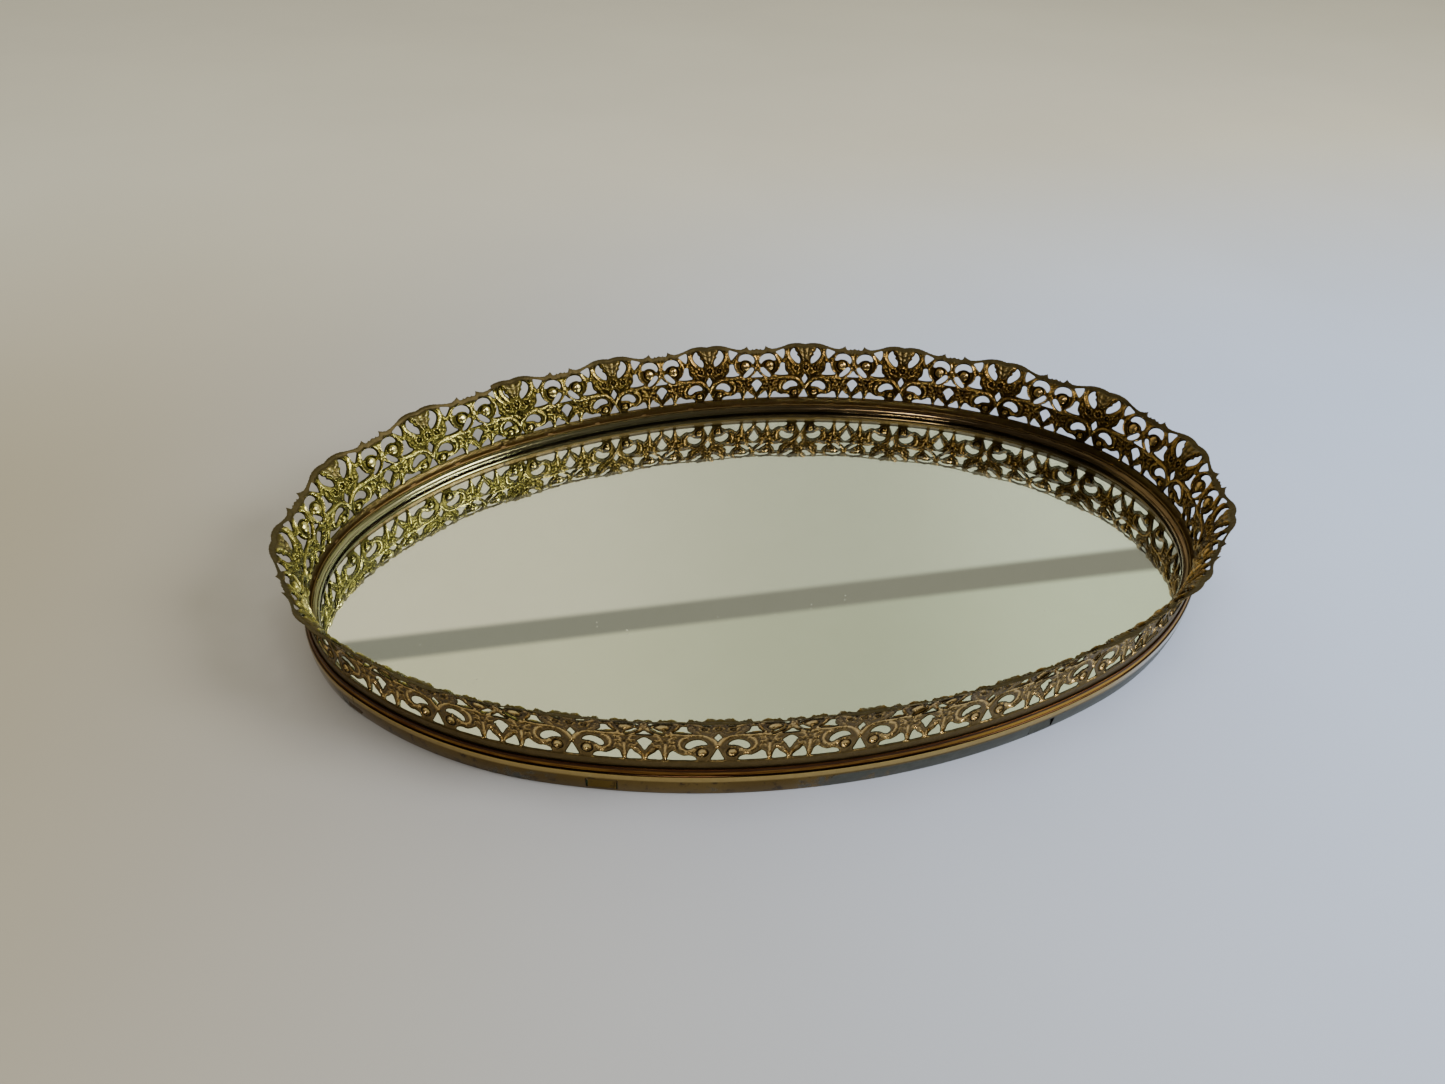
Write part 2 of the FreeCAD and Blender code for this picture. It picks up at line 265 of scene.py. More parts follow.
def signed_distance(u, v, path):
    """Distance to a closed polyline, negative inside it."""
    closed = np.concatenate([path, path[:1]])
    distance = distance_to_path(u, v, closed)
    return np.where(inside_path(u, v, path), -distance, distance)


# Openings of half a repeat as (u, v) points: u from the scallop's middle, v up the sheet
OPENINGS = {
    "foot triangle": [(-2.3, 1.1), (0, 0.9), (2.3, 1.1), (1.7, 2.6), (0.9, 4.3), (0, 6.0), (-0.9, 4.3),
                      (-1.7, 2.6)],
    "lower crescent": [(3.7, 8.1), (4.6, 9.9), (6.6, 10.9), (8.9, 10.5), (10.8, 8.9), (11.4, 7.0),
                       (10.4, 5.8), (9.1, 6.2), (7.6, 7.3), (5.6, 7.7)],
    "foot slot": [(7.6, 0.9), (8.2, 2.4), (10, 3.0), (12.2, 2.9), (14, 3.8), (15.6, 4.9), (16.8, 4.1),
                  (17.4, 2.2), (17.5, 0.9), (12, 0.8)],
    "valley foot": [(19.5, 1.0), (19.9, 3.6), (20.9, 5.4), (22.1, 4.0), (24.2, 2.3), (24.4, 1.0), (22, 0.8)],
    "kite": [(0, 14.6), (0.8, 13.3), (1.4, 12.2), (0.9, 10.9), (0, 9.6), (-0.9, 10.9), (-1.4, 12.2),
             (-0.8, 13.3)],
    "upper fan": [(11.1, 20.4), (12.9, 20.5), (13.5, 18.4), (14.6, 16.4), (16.1, 14.9), (12.5, 14.3),
                  (9.0, 14.7), (10.5, 16.5), (10.9, 18.3)],
    "ring crescent": [(15.8, 22.3), (16.6, 24.4), (18.6, 25.4), (21.4, 25.3), (23.6, 23.9), (24.3, 21.9),
                      (23.5, 20.5), (22.3, 21.7), (20.6, 22.5), (18.6, 22.6), (17.0, 22.0)],
    "ring banana": [(23.6, 18.3), (22.3, 18.5), (20.7, 17.0), (19.2, 15.4), (18.4, 14.2), (18.9, 13.4),
                    (20.6, 13.9), (22.5, 15.4), (23.8, 17.2)],
    "shell side": [(5.9, 28.2), (7.3, 27.2), (8.0, 25.3), (7.3, 23.4), (6, 21.9), (4.5, 20.7), (3.1, 20.4),
                   (2.8, 22.2), (3.4, 23.6), (4.5, 24.6), (4.3, 25.7), (5.3, 26.6)],
    "border fan": [(11.4, 27.9), (13.5, 27.3), (15.5, 26.4), (14.6, 25.3), (13.2, 23.9), (12.0, 23.0),
                   (11.2, 24.6), (11.0, 26.4)],
    "valley diamond": [(HALF_PITCH, 12.0), (HALF_PITCH + 1.5, 11.1), (HALF_PITCH + 2.7, 9.4),
                       (HALF_PITCH + 1.4, 7.4), (HALF_PITCH, 5.0), (HALF_PITCH - 1.4, 7.4),
                       (HALF_PITCH - 2.7, 9.4), (HALF_PITCH - 1.5, 11.1)],
    "valley triangle": [(HALF_PITCH, 16.6), (HALF_PITCH + 1.4, 15.0), (HALF_PITCH + 3.2, 13.6),
                        (HALF_PITCH, 13.4), (HALF_PITCH - 3.2, 13.6), (HALF_PITCH - 1.4, 15.0)],
}

# Top edge of half a repeat, from the scallop's middle to the valley
TOP_EDGE = [(0, 30.6), (1.2, 30.9), (3, 31.2), (5.2, 31.2), (8, 30.8), (10, 30.1), (12, 29.3), (15, 28.5),
            (17.2, 28.2), (18.7, 28.5), (19.9, 29.1), (20.8, 29.7), (21.1, 29.0), (21.8, 28.0), (22.7, 27.7),
            (23.6, 28.2), (24.5, 27.9), (HALF_PITCH, 28.4)]

# Raised lines of half a repeat: (height, half width, points)
SCROLLS = [
    (0.55, 0.85, [(0.1, 7.0), (0.7, 8.4), (1.9, 10.1), (4.2, 12.1), (7.5, 12.9), (11, 12.9), (14.5, 13.3),
                  (18, 12.6), (20.8, 12.8), (22.7, 14.8), (24.7, 17.8), (25.3, 20.4)]),
    (0.50, 0.85, [(10.8, 11.4), (12.8, 10.5), (13.6, 8.3), (13.0, 6.0), (11.2, 4.5), (9.2, 4.5),
                  (8.2, 5.2)]),
    (0.50, 0.90, [(17.0, 13.0), (15.4, 15.9), (14.2, 18.2), (14.1, 20.8), (15.1, 23.6), (17.0, 25.9),
                  (19.7, 26.6), (22.6, 26.2), (24.9, 24.0), (25.3, 20.4)]),
    (0.40, 0.60, [(18.3, 12.8), (19.2, 15.8), (21.4, 17.8), (22.6, 19.6)]),
    (0.55, 0.90, [(9.4, 28.6), (9.6, 26.6), (9.4, 24.2), (8.2, 22.0), (6.3, 20.2)]),
    (0.35, 0.60, [(10.6, 22.2), (12.2, 22.0), (13.8, 22.8)]),
    (0.40, 0.50, [(10.3, 28.2), (10.2, 25.4), (10.6, 22.6), (11.8, 21.2)]),
    (0.45, 0.60, [(14.6, 11.5), (16.2, 11.2), (17.1, 10.1), (16.5, 8.9), (15.2, 9.1)]),
    (0.40, 0.55, [(14.7, 5.6), (15.4, 7.2), (16.7, 7.3), (17.3, 6.1)]),
    (0.45, 0.60, [(22.4, 12.3), (21.0, 11.8), (20.2, 10.5), (20.9, 9.4), (22.0, 9.8)]),
    (0.40, 0.55, [(22.9, 7.8), (21.9, 6.8), (20.5, 7.2), (19.9, 6.2)]),
    (0.50, 0.75, [(18.4, 7.4), (18.5, 4.0), (18.5, 0.7)]),
    (0.45, 0.65, [(21.3, 6.1), (23.1, 5.1), (24.6, 3.2), (HALF_PITCH, 1.0)]),
    (0.35, 0.60, [(HALF_PITCH, 17.6), (HALF_PITCH, 22.0), (HALF_PITCH, 26.6)]),
    (0.30, 0.55, [(2.4, 11.4), (2.5, 13.2), (1.2, 15.2)]),
    (0.35, 0.55, [(6.2, 14.2), (8.2, 16.2), (9.6, 18.6), (9.4, 20.6)]),
    (0.35, 0.50, [(3.6, 15.4), (6.2, 17.0), (7.2, 19.2), (6.2, 20.4)]),
]

# Pressed grooves of half a repeat: (depth, half width, points)
GROOVES = [
    (0.30, 0.30, [(11.6, 10.2), (12.4, 8.2), (11.9, 6.4), (10.6, 5.3)]),
    (0.25, 0.30, [(3.4, 13.1), (6.0, 13.9), (8.2, 14.1)]),
    (0.25, 0.30, [(16.4, 27.2), (19.5, 27.4), (22.4, 26.9), (24.6, 25.3)]),
    (0.25, 0.30, [(1.6, 8.2), (3.0, 10.3), (5.4, 12.0)]),
    (0.30, 0.35, [(14.2, 10.2), (14.5, 7.6), (14.0, 5.4)]),
    (0.25, 0.30, [(17.6, 11.9), (18.9, 11.4), (19.8, 12.0)]),
    (0.20, 0.28, [(4.6, 13.6), (5.6, 15.6), (4.0, 16.4)]),
]

# Bosses with a groove round them, and plain beads, of half a repeat: (u, v, radius, height)
RINGED_BOSSES = [(5.3, 4.3, 1.75, 1.15), (19.3, 19.3, 2.45, 1.6), (0.0, 18.2, 0.8, 0.5),
                 (5.0, 17.8, 0.7, 0.45)]
BEADS = [(9.0, 19.3, 0.75, 0.55), (8.4, 17.4, 0.85, 0.6), (7.3, 15.9, 0.85, 0.55),
         (2.9, 15.4, 0.7, 0.45), (1.9, 16.2, 0.55, 0.4), (7.6, 21.2, 0.8, 0.7), (4.4, 28.2, 0.9, 0.7),
         (9.3, 28.7, 0.8, 0.5), (13.9, 22.7, 0.7, 0.55), (10.9, 21.4, 0.65, 0.45),
         (15.7, 10.1, 0.65, 0.4), (15.9, 6.4, 0.65, 0.4), (21.2, 10.6, 0.6, 0.4),
         (21.4, 7.6, 0.6, 0.4), (23.0, 12.4, 0.6, 0.4), (14.6, 12.4, 0.6, 0.45),
         (HALF_PITCH, 24.2, 0.7, 0.5), (24.8, 18.2, 0.6, 0.4), (17.9, 13.5, 0.7, 0.55),
         (16.3, 26.2, 0.7, 0.4), (HALF_PITCH - 1.9, 11.8, 0.5, 0.35),
         (HALF_PITCH - 2.9, 7.9, 0.5, 0.35)]

# Petalled florets: (u, v, petals, petal ring radius, petal radius, height, turn)
FLORETS = [
    (0.0, 18.2, 7, 1.8, 0.75, 0.5, 0.0),
    (5.0, 17.8, 6, 1.6, 0.65, 0.45, 0.4),
    (18.4, 9.2, 6, 1.3, 0.60, 0.45, 0.2),
]

# Punch marks of half a repeat: (u, v)
PITS = [(18.4, 9.2), (16.9, 12.1), (19.8, 12.1), (14.3, 11.2), (16.1, 8.1), (20.7, 8.3), (14.1, 6.6),
        (3.2, 12.4)]
PIT_RADIUS = 0.45
PIT_DEPTH = 0.3

# Heights, depths and widths of the rest of the stamping
EDGE_RISE = 0.42               # of the metal inside its cut edges
EDGE_LINE = 0.26               # of the raised line that follows every opening
EDGE_GROOVE = 0.16             # of the groove inside that line
LINE_WIDTH = 0.3
RIPPLE = 0.07
SCROLL_RISE = 1.4              # factor on the scrolls' heights
PETAL_BASE = 0.45
BOSS_BASE = 0.3
MOAT_DEPTH = 0.40              # of the groove round a ringed boss
MOAT_BANK = 0.25
NICK_DEPTH = 0.09              # of the waver in the top edge
BORDER_WIDTH = 2.6
BORDER_RELIEF = 0.05
BORDER_GROOVE = 0.30
SELVAGE_RELIEF = 0.12
SHELL_FROM = 20.5


def bump(distance, radius, height):
    """A round-topped bump: half an ellipse in section."""
    return height * np.sqrt(np.clip(1 - (distance / radius) ** 2, 0, 1))


def soft_line(distance, height, half_width):
    """A line with soft sides, as a punch leaves it."""
    return height * np.exp(-(distance / half_width) ** 2)


def shell_relief(u, v):
    """Folds of the palmette that hangs from the border, spreading from its tip."""
    rise = v - 18.5
    angle = np.arctan2(u, np.maximum(rise, 0.1))
    reach = smooth_step((v - SHELL_FROM - 0.5) / 1.5) * smooth_step((29.2 - v) / 1.5)
    across = smooth_step((0.47 - np.abs(angle)) / 0.06)
    folds = np.abs(np.cos(angle * 9.5)) ** 0.7
    lumps = 0.16 * np.sin(2.6 * rise + 1.6 * np.cos(angle * 7.0))
    return reach * across * (0.25 + 0.50 * folds + lumps)


def motif_edge(u, v):
    """Distance inside the metal's edge, negative in openings, and distance from the top edge."""
    edge = np.full(u.shape, FAR)
    for points in OPENINGS.values():
        edge = np.minimum(edge, signed_distance(u, v, closed_curve(points)))
    top = open_curve(TOP_EDGE)
    mirrored = (top * [-1, 1])[::-1][:-1]
    beyond = ([PITCH, 0] + top * [-1, 1])[::-1][1:]
    top_path = np.concatenate([mirrored, top, beyond])
    deep = -40.0
    below = np.concatenate([top_path, [[PITCH, deep], [-HALF_PITCH, deep]]])
    from_top = distance_to_path(u, v, top_path)
    nicks = NICK_DEPTH * (1 + np.sin(4.7 * u + 1.2 * np.sin(1.9 * u)))
    edge = np.minimum(edge, np.where(inside_path(u, v, below), from_top, -from_top) - nicks)
    return edge, from_top


def stamped_relief(u, v, edge):
    """Relief of the field between the selvage and the border: lines, florets, bosses and marks."""
    # A raised line and a groove inside it follow every opening.
    relief = EDGE_RISE * smooth_step(edge / 0.5) + soft_line(edge - 0.6, EDGE_LINE, LINE_WIDTH)
    relief = relief - soft_line(edge - 1.3, EDGE_GROOVE, LINE_WIDTH)
    relief = relief + (RIPPLE * np.sin(3.3 * u + 1.4 * np.sin(2.1 * v))
                       * np.sin(3.7 * v + 0.9 * np.sin(1.7 * u)))
    lines = np.zeros(u.shape)
    for height, half_width, points in SCROLLS:
        distance = distance_to_path(u, v, open_curve(points))
        lines = np.maximum(lines, bump(distance, half_width, height * SCROLL_RISE))
    relief = relief + lines
    for depth, half_width, points in GROOVES:
        relief = relief - soft_line(distance_to_path(u, v, open_curve(points)), depth, half_width)
    for centre_u, centre_v, petals, ring, radius, height, turn in FLORETS:
        for petal in range(petals):
            angle = turn + 2 * math.pi * petal / petals
            distance = np.hypot(u - centre_u - ring * math.sin(angle), v - centre_v - ring * math.cos(angle))
            petal_relief = PETAL_BASE + bump(distance, radius, height) * (distance < radius)
            relief = np.maximum(relief, petal_relief)
    for number, (centre_u, centre_v, radius, height) in enumerate(RINGED_BOSSES + BEADS):
        distance = np.hypot(u - centre_u, v - centre_v)
        if number < len(RINGED_BOSSES):
            relief = relief - soft_line(distance - radius - 0.25, MOAT_DEPTH, LINE_WIDTH)
            relief = relief + soft_line(distance - radius - 0.85, MOAT_BANK, LINE_WIDTH)
        dome = np.where(distance < radius, BOSS_BASE + bump(distance, radius, height), 0)
        relief = np.maximum(relief, dome)
    for centre_u, centre_v in PITS:
        relief = relief - soft_line(np.hypot(u - centre_u, v - centre_v), PIT_DEPTH, PIT_RADIUS)
    return np.where(v > SHELL_FROM, relief + shell_relief(u, v), relief)


def motif_fields():
    """Grid of one repeat: u, v, distance inside the metal's edge, relief and dull parts."""
    columns = np.linspace(0, HALF_PITCH, HALF_COLUMNS + 1)
    rows = np.linspace(STRIP_FOOT, STRIP_TOP, ROWS + 1)
    u, v = np.meshgrid(columns, rows)
    edge, from_top = motif_edge(u, v)
    relief = stamped_relief(u, v, edge)
    # A flat border follows the top edge, with a pressed line below it.
    border = smooth_step((BORDER_WIDTH - from_top) / 0.5)
    relief = relief * (1 - border) + border * BORDER_RELIEF
    relief = relief - soft_line(from_top - BORDER_WIDTH - 0.15, BORDER_GROOVE, 0.35)
    # The selvage is flat.
    selvage = smooth_step((0.6 - v) / 0.7)
    relief = relief * (1 - selvage) + selvage * SELVAGE_RELIEF
    # Relief dies away at the cut edges, so that the sheet keeps one thickness.
    relief = relief * smooth_step((edge + 0.15) / 0.5)
    shell = smooth_step((4.6 - np.abs(u) - 0.35 * (29.0 - v)) / 0.8) * smooth_step((v - 21.5) / 1.0)
    dull = np.maximum(smooth_step((BORDER_WIDTH + 0.3 - from_top) / 0.7), shell)

    def both_halves(field, sign=1):
        return np.concatenate([sign * field[:, :0:-1], field], 1)

    fields = [both_halves(field) for field in (v, edge, relief, dull)]
    return [both_halves(u, -1)] + fields


def snap_to_edge(u, v, edge):
    """Move grid points that lie near the metal's edge onto it, so that no thin slivers are made."""
    cell = v[1, 0] - v[0, 0]
    slope_v, slope_u = np.gradient(edge, v[:, 0], u[0])
    near = np.abs(edge) < 0.28 * cell
    near[:, 0] = near[:, -1] = near[0] = near[-1] = False
    size = np.maximum(slope_u ** 2 + slope_v ** 2, 0.3)
    moved_u = np.where(near, u - edge * slope_u / size, u)
    moved_v = np.where(near, v - edge * slope_v / size, v)
    return moved_u, moved_v, np.where(near, 0.0, edge)


def clipped_triangles(u, v, edge, fields):
    """Triangles that cover the part of the grid where edge >= 0, cut along its zero line."""
    rows, columns = edge.shape
    node = np.arange(rows * columns).reshape(rows, columns)
    solid = edge >= 0

    def crossing(a, b):
        """Ids and positions of cut points between neighbouring grid points."""
        first, second = edge.ravel()[a], edge.ravel()[b]
        cut = (first >= 0) != (second >= 0)
        t = np.where(cut, first / np.where(cut, first - second, 1), 0)
        ids = np.full(a.shape, -1)
        ids[cut & (first == 0)] = a[cut & (first == 0)]
        ids[cut & (second == 0)] = b[cut & (second == 0)]
        return cut & (ids < 0), t, ids

    stores = [np.stack([u.ravel(), v.ravel()] + [f.ravel() for f in fields], -1)]
    total = rows * columns

    def cut_points(a, b):
        nonlocal total
        fresh, t, ids = crossing(a, b)
        ids[fresh] = total + np.arange(fresh.sum())
        total += int(fresh.sum())
        weight = t[fresh][:, None]
        stores.append(stores[0][a[fresh]] * (1 - weight) + stores[0][b[fresh]] * weight)
        return ids

    across = cut_points(node[:, :-1], node[:, 1:])
    along = cut_points(node[:-1], node[1:])
    corners = [node[:-1, :-1], node[:-1, 1:], node[1:, 1:], node[1:, :-1]]
    sides = [across[:-1], along[:, 1:], across[1:], along[:, :-1]]
    inside = [solid[:-1, :-1], solid[:-1, 1:], solid[1:, 1:], solid[1:, :-1]]
    triangles = []
    for case in range(1, 16):
        bits = [bool(case >> corner & 1) for corner in range(4)]
        chosen = np.ones(inside[0].shape, bool)
        for corner in range(4):
            chosen &= inside[corner] == bits[corner]
        ring = []
        for corner in range(4):
            if bits[corner]:
                ring.append(corners[corner][chosen])
            if bits[corner] != bits[(corner + 1) % 4]:
                ring.append(sides[corner][chosen])
        for index in range(1, len(ring) - 1):
            triangles.append(np.stack([ring[0], ring[index], ring[index + 1]], -1))
    triangles = np.concatenate(triangles)
    whole = (triangles[:, 0] != triangles[:, 1]) & (triangles[:, 1] != triangles[:, 2])
    whole &= triangles[:, 0] != triangles[:, 2]
    triangles = triangles[whole]
    points = np.concatenate(stores)
    used, packed = np.unique(triangles, return_inverse=True)
    return points[used], packed.reshape(-1, 3)


def open_edges(triangles):
    """Directed edges that belong to one triangle only."""
    edges = np.concatenate([triangles[:, [0, 1]], triangles[:, [1, 2]], triangles[:, [2, 0]]])
    size = int(triangles.max()) + 1
    forward = edges[:, 0].astype(np.int64) * size + edges[:, 1]
    backward = edges[:, 1].astype(np.int64) * size + edges[:, 0]
    return edges[~np.isin(forward, backward)]


MOTIF = motif_fields()


def gallery_length(name, middle, cut_from=None, cut_to=None, step_out=None):
    """One length of the gallery: a thin pressed sheet, optionally cut square at a place on the line."""
    u, v, edge, relief, dull = MOTIF
    if cut_from is not None:
        edge = np.minimum(edge, middle + u - cut_from)
    if cut_to is not None:
        edge = np.minimum(edge, cut_to - middle - u)
    moved_u, moved_v, snapped = snap_to_edge(u, v, edge)
    points, triangles = clipped_triangles(moved_u, moved_v, snapped, [edge, relief, dull])
    u, v, edge, relief, dull = points.T
    distance = middle + u
    # The strip waves and leans in a little, but neither at its foot nor at its very top.
    wave = sum(height * np.sin(distance * rate + start) for height, rate, start in WAVES)
    out = wave * smooth_step(v / 20) - LEAN_IN * smooth_step(v / 25)
    out = out * smooth_step((31.0 - v) / 5)
    if step_out is not None:
        out = out + step_out(distance)
    half = SHEET / 2 * (EDGE_THINNING + (1 - EDGE_THINNING) * smooth_step(edge / 0.45))
    inner = on_gallery(distance, v, out - relief - half)
    outer = on_gallery(distance, v, out - relief * BACK_RELIEF + half)
    count = len(inner)
    rim_edges = open_edges(triangles)
    start, end = rim_edges[:, 0], rim_edges[:, 1]
    walls = np.concatenate([
        np.stack([end, start, start + count], -1),
        np.stack([end, start + count, end + count], -1),
    ])
    faces = np.concatenate([triangles[:, ::-1], triangles + count, walls])
    piece = mesh_object(name, np.concatenate([inner, outer]), faces, smooth_angle=55)
    add_attribute(piece, "relief", np.tile(relief, 2))
    add_attribute(piece, "rise", np.tile(v, 2))
    add_attribute(piece, "dull", np.tile(dull, 2))
    add_attribute(piece, "inner", np.repeat([1.0, 0.0], count))
    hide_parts("gallery")
    return piece


def make_gallery():
    pieces = []
    for index in range(REPEATS - 1):
        middle = FIRST_VALLEY + (index + 0.5) * PITCH
        pieces.append(gallery_length("gallery_repeat_%02d" % (index + 1), middle))
    last_middle = FIRST_VALLEY + (REPEATS - 0.5) * PITCH
    inner_end = PERIMETER + LAP_START + LAP_LENGTH
    pieces.append(gallery_length("gallery_end_inner", last_middle, cut_to=inner_end))

    def lap_step(distance):
        """How far the outer end stands out, so that it passes behind the inner one."""
        past = distance - LAP_START - LAP_LENGTH
        return LAP_STEP * smooth_step(1 - (past + 1.0) / 7.0)

    pieces.append(gallery_length("gallery_end_outer", FIRST_VALLEY - HALF_PITCH, cut_from=LAP_START,
                                 step_out=lap_step))
    return pieces


# ---- rim

# Section of the rolled rim from the wall's foot: (via, end) points, where no via is a straight
RIM_START = (1.2, 0.0)
RIM_MOVES = [
    ((2.0, 4.5), (2.1, 8.6)),             # wall
    ((1.97, 9.5), (1.5, 10.0)),           # bead at the wall's top
    (None, (1.3, 10.0)),                  # fine step
    ((0.98, 10.8), (0.95, 12.0)),         # cove
    ((0.65, 12.35), (0.35, 12.0)),        # lip
    (None, (0.35, 11.2)),                 # groove that the gallery stands in
    (None, (-0.3, 11.2)),
    (None, (-0.3, 12.1)),
    (None, (-0.95, 12.1)),                # ledge
    ((-1.27, 12.42), (-1.6, 12.1)),       # fine ridge
    ((-3.35, 11.45), (-4.1, 9.4)),        # bead on the mirror
    (None, (-3.55, 9.4)),
    ((-2.95, 10.95), (-1.6, 11.5)),
    (None, (-0.85, 11.3)),
    (None, (-0.85, 10.7)),
    (None, (0.45, 10.7)),
    ((0.6, 10.1), (0.95, 9.6)),
    ((1.4, 9.2), (1.6, 8.5)),
    ((1.5, 4.5), (0.7, 0.0)),             # hidden face of the wall
]
# Steps along each arc, by the move's number; the two sides of the wall are stepped at levels instead
RIM_STEPS = {0: None, 1: 6, 3: 6, 4: 7, 9: 7, 10: 16, 12: 6, 16: 3, 17: 3, 18: None}
# How far the painted shade round each window reaches, in millimetres
SLIT_SHADE = 0.45
WINDOW_LOW = 1.3
WINDOW_HIGH = 6.15
WALL_LEVELS = (0.7, WINDOW_LOW, 2.4, 3.6, 4.9, WINDOW_HIGH, WINDOW_HIGH + SLIT_SHADE, 7.6)
STATION_SPACING = 1.5
SEAM_AT = 573.5
SEAM_GAP = 0.2
TAB_COUNT = 6
FIRST_TAB = 164.8
TAB_WIDTH = 10.5
TAB_TIP = 5.8
TAB_CORNER = 1.6
TAB_SLIT = 0.35
TAB_SHEET = 0.5
TAB_LEAN = math.radians(7)
TAB_FOOT_OFFSET = 1.52
TAB_CORNER_STEPS = 5
TAB_BEVEL = 0.12
TAB_STRETCH = 0.55             # the place on the section that the tab is coloured as


def circle_through(first, second, third):
    """Centre and radius of the circle through three points."""
    (ax, ay), (bx, by), (cx, cy) = first, second, third
    twice = 2 * (ax * (by - cy) + bx * (cy - ay) + cx * (ay - by))
    a2, b2, c2 = ax * ax + ay * ay, bx * bx + by * by, cx * cx + cy * cy
    x = (a2 * (by - cy) + b2 * (cy - ay) + c2 * (ay - by)) / twice
    y = (a2 * (cx - bx) + b2 * (ax - cx) + c2 * (bx - ax)) / twice
    return x, y, math.hypot(ax - x, ay - y)


def arc_stretch(start, via, end, steps):
    """Points along the arc through three points, without the first one."""
    x, y, radius = circle_through(start, via, end)
    first, middle, last = [math.atan2(point[1] - y, point[0] - x) for point in (start, via, end)]
    full = 2 * math.pi
    turn = (last - first) % full
    if (middle - first) % full > turn:
        turn -= full
    angles = [first + turn * step / steps for step in range(1, steps + 1)]
    return [(x + radius * math.cos(angle), y + radius * math.sin(angle)) for angle in angles]


def wall_stretch(start, via, end):
    """Points up or down a bulged wall, at the levels that the tab windows need."""
    x, y, radius = circle_through(start, via, end)
    levels = [level for level in WALL_LEVELS if min(start[1], end[1]) < level < max(start[1], end[1])]
    if end[1] < start[1]:
        levels = levels[::-1]
    return [(x + math.sqrt(radius ** 2 - (level - y) ** 2), level) for level in levels] + [end]


def rim_section():
    """Points round the section, with a number at each that says which stretch it is on."""
    points, stretches = [RIM_START], [0.0]
    for index, (via, end) in enumerate(RIM_MOVES):
        start = points[-1]
        if via is None:
            fresh = [end]
        elif RIM_STEPS[index] is None:
            fresh = wall_stretch(start, via, end)
        else:
            fresh = arc_stretch(start, via, end, RIM_STEPS[index])
        points += fresh
        stretches += [index + (step + 1) / len(fresh) for step in range(len(fresh))]
    return np.array(points), np.array(stretches)


def tab_places():
    """Distances of the tabs' middles along the line."""
    return [FIRST_TAB + PERIMETER * index / TAB_COUNT for index in range(TAB_COUNT)]


def rim_stations():
    """Distances along the line from one side of the butt joint to the other, with the windows' ends."""
    begin, finish = SEAM_AT + SEAM_GAP / 2, SEAM_AT + PERIMETER - SEAM_GAP / 2
    fixed = [begin, finish]
    windows = []
    half = TAB_WIDTH / 2 + TAB_SLIT
    for place in tab_places():
        middle = begin + (place - begin) % PERIMETER
        windows.append((middle - half, middle + half))
        fixed += [middle - half - SLIT_SHADE, middle - half, middle + half, middle + half + SLIT_SHADE]
    fixed = sorted(fixed)
    stations = []
    for start, end in zip(fixed[:-1], fixed[1:]):
        count = max(1, round((end - start) / STATION_SPACING))
        stations += [start + (end - start) * step / count for step in range(count)]
    return np.array(stations + [finish]), windows


def window_sides(index, outer, inner, first, last):
    """Faces through the wall's thickness, round one window between two columns of the rim's grid."""
    sides = []
    for column in range(first, last):
        here, there = index[column], index[column + 1]
        sides.append((here[outer[0]], there[outer[0]], there[inner[0]], here[inner[0]]))
        sides.append((there[outer[-1]], here[outer[-1]], here[inner[-1]], there[inner[-1]]))
    for lower in range(len(outer) - 1):
        upper = lower + 1
        for column, start, end in ((first, lower, upper), (last, upper, lower)):
            here = index[column]
            sides.append((here[outer[end]], here[outer[start]], here[inner[start]], here[inner[end]]))
    return sides


def slit_values(stations, windows, on_wall, at_level):
    """1 on the edges of the windows, where shade is painted dark, and 0 elsewhere."""
    slit = np.zeros((len(stations), len(on_wall)))
    for low, high in windows:
        within = (stations > low - CLOSE) & (stations < high + CLOSE)
        at_side = (np.abs(stations - low) < CLOSE) | (np.abs(stations - high) < CLOSE)
        slit[np.ix_(at_side, on_wall)] = 1
        slit[np.ix_(within, on_wall & at_level)] = 1
    return slit


